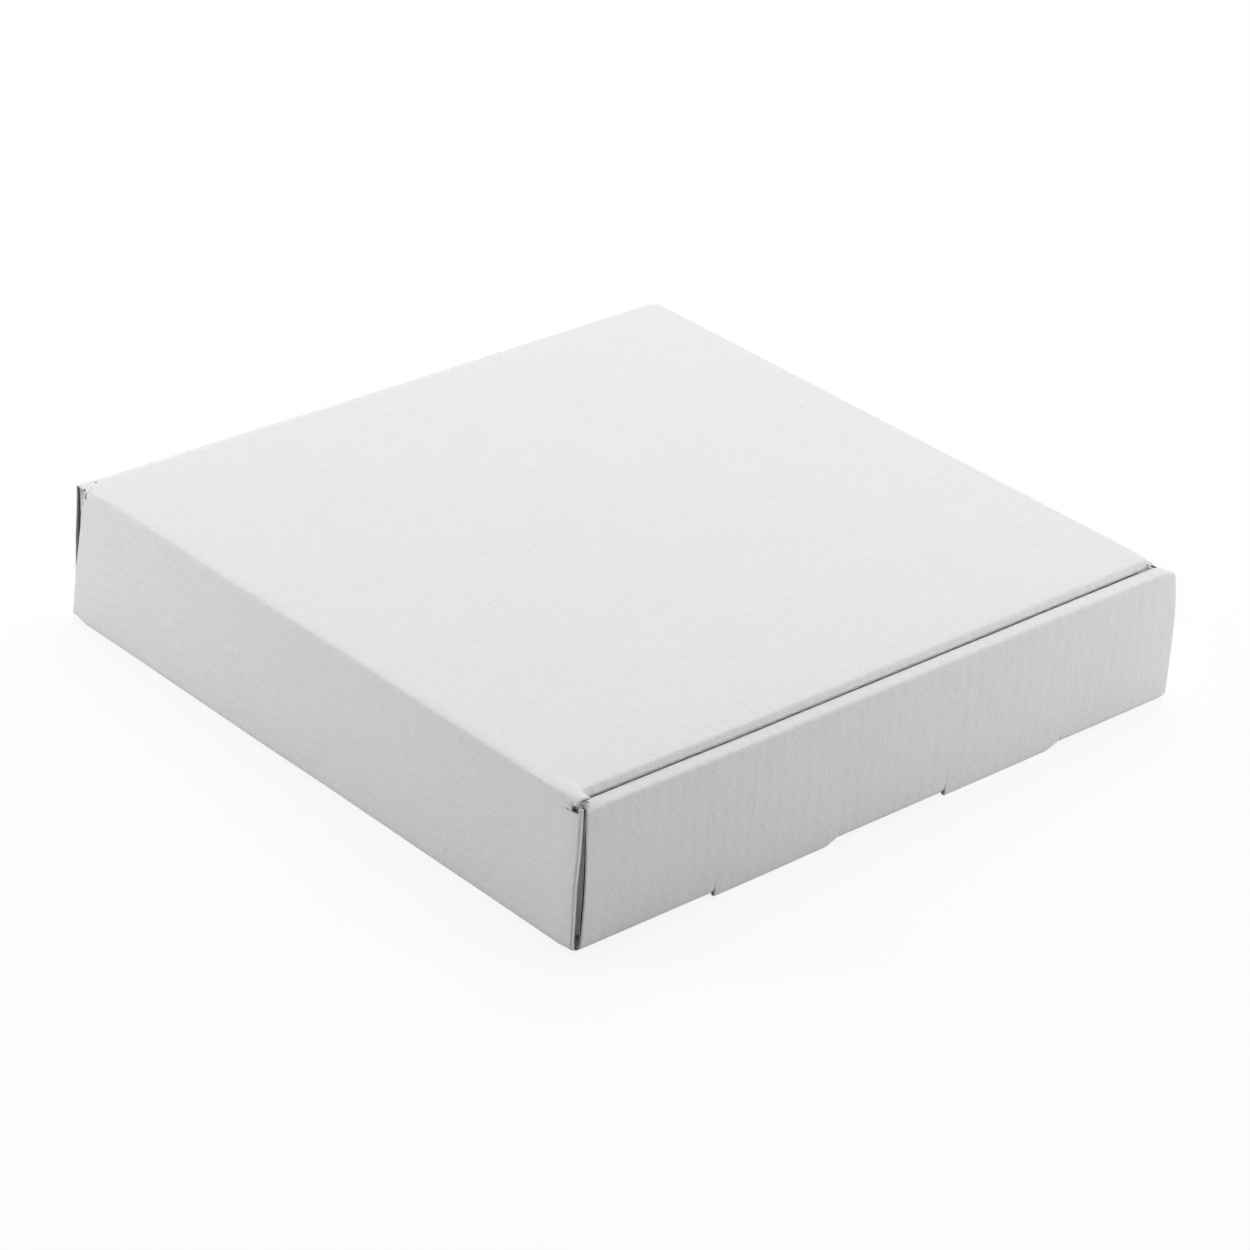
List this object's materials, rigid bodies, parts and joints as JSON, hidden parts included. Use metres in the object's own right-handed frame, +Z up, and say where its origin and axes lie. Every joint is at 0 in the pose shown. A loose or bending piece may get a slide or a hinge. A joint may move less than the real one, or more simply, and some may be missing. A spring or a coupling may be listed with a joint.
{
  "type": "flat shipping box",
  "caption": "Flat square box of white corrugated board folded from one sheet, with rolled side walls, a lid that turns on its crease and a tuck flap.",
  "frame": {"origin": "centre of the underside, on the surface that the box stands on", "axes": "+Z up through the lid, +X along the hinge wall to one rolled side wall, +Y from the hinge wall to the front wall"},
  "size_m": [0.15, 0.1544, 0.031],
  "materials": {
    "white_board": "uncoated matt white liner on a white fluted core"
  },
  "bodies": {
    "tray": {"tray": "white_board"},
    "lid": {"lid": "white_board"}
  },
  "joints": [
    {"name": "lid_hinge", "type": "hinge", "parent": "tray", "child": "lid", "pos_m": [0, -0.07725, 0.0289], "axis": [1, 0, 0], "range_deg": [0, 180]}
  ]
}
